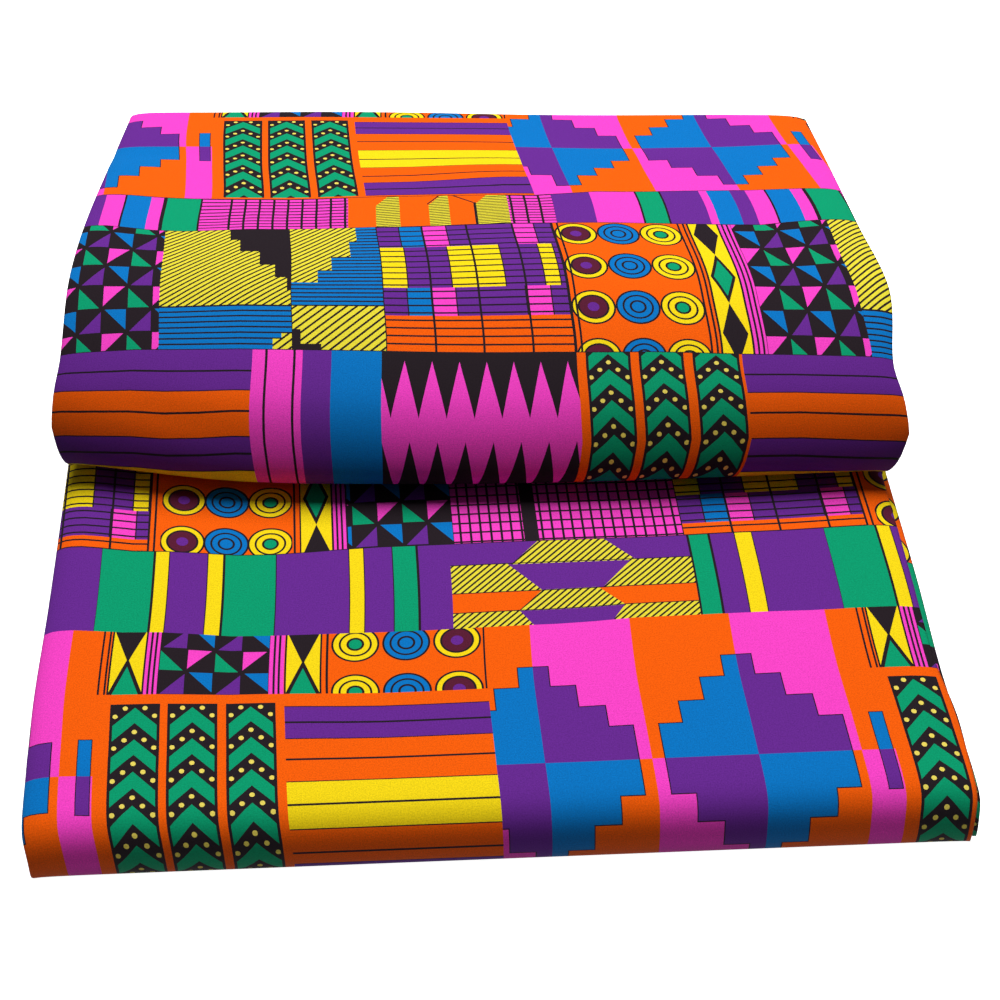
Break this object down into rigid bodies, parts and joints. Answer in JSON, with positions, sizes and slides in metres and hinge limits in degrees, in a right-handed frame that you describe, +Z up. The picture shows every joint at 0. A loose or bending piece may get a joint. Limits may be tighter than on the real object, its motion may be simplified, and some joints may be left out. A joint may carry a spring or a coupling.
{
  "type": "folded length of printed ankara cotton fabric",
  "caption": "Doubled cotton cloth folded back and forth into two soft pads: a flat lower pad with a rolled front, and an upper pad set back on it with a thick rounded lip.",
  "frame": {"origin": "under the middle of the folded cloth, on the surface that it rests on", "axes": "+X to the right across the cloth, +Y from the front rolls to the back folds, +Z up"},
  "size_m": [0.5908, 0.7139, 0.1362],
  "materials": {
    "printed_cotton": "matte"
  },
  "bodies": {
    "root": {"ankara_cloth": "printed_cotton"}
  },
  "joints": []
}
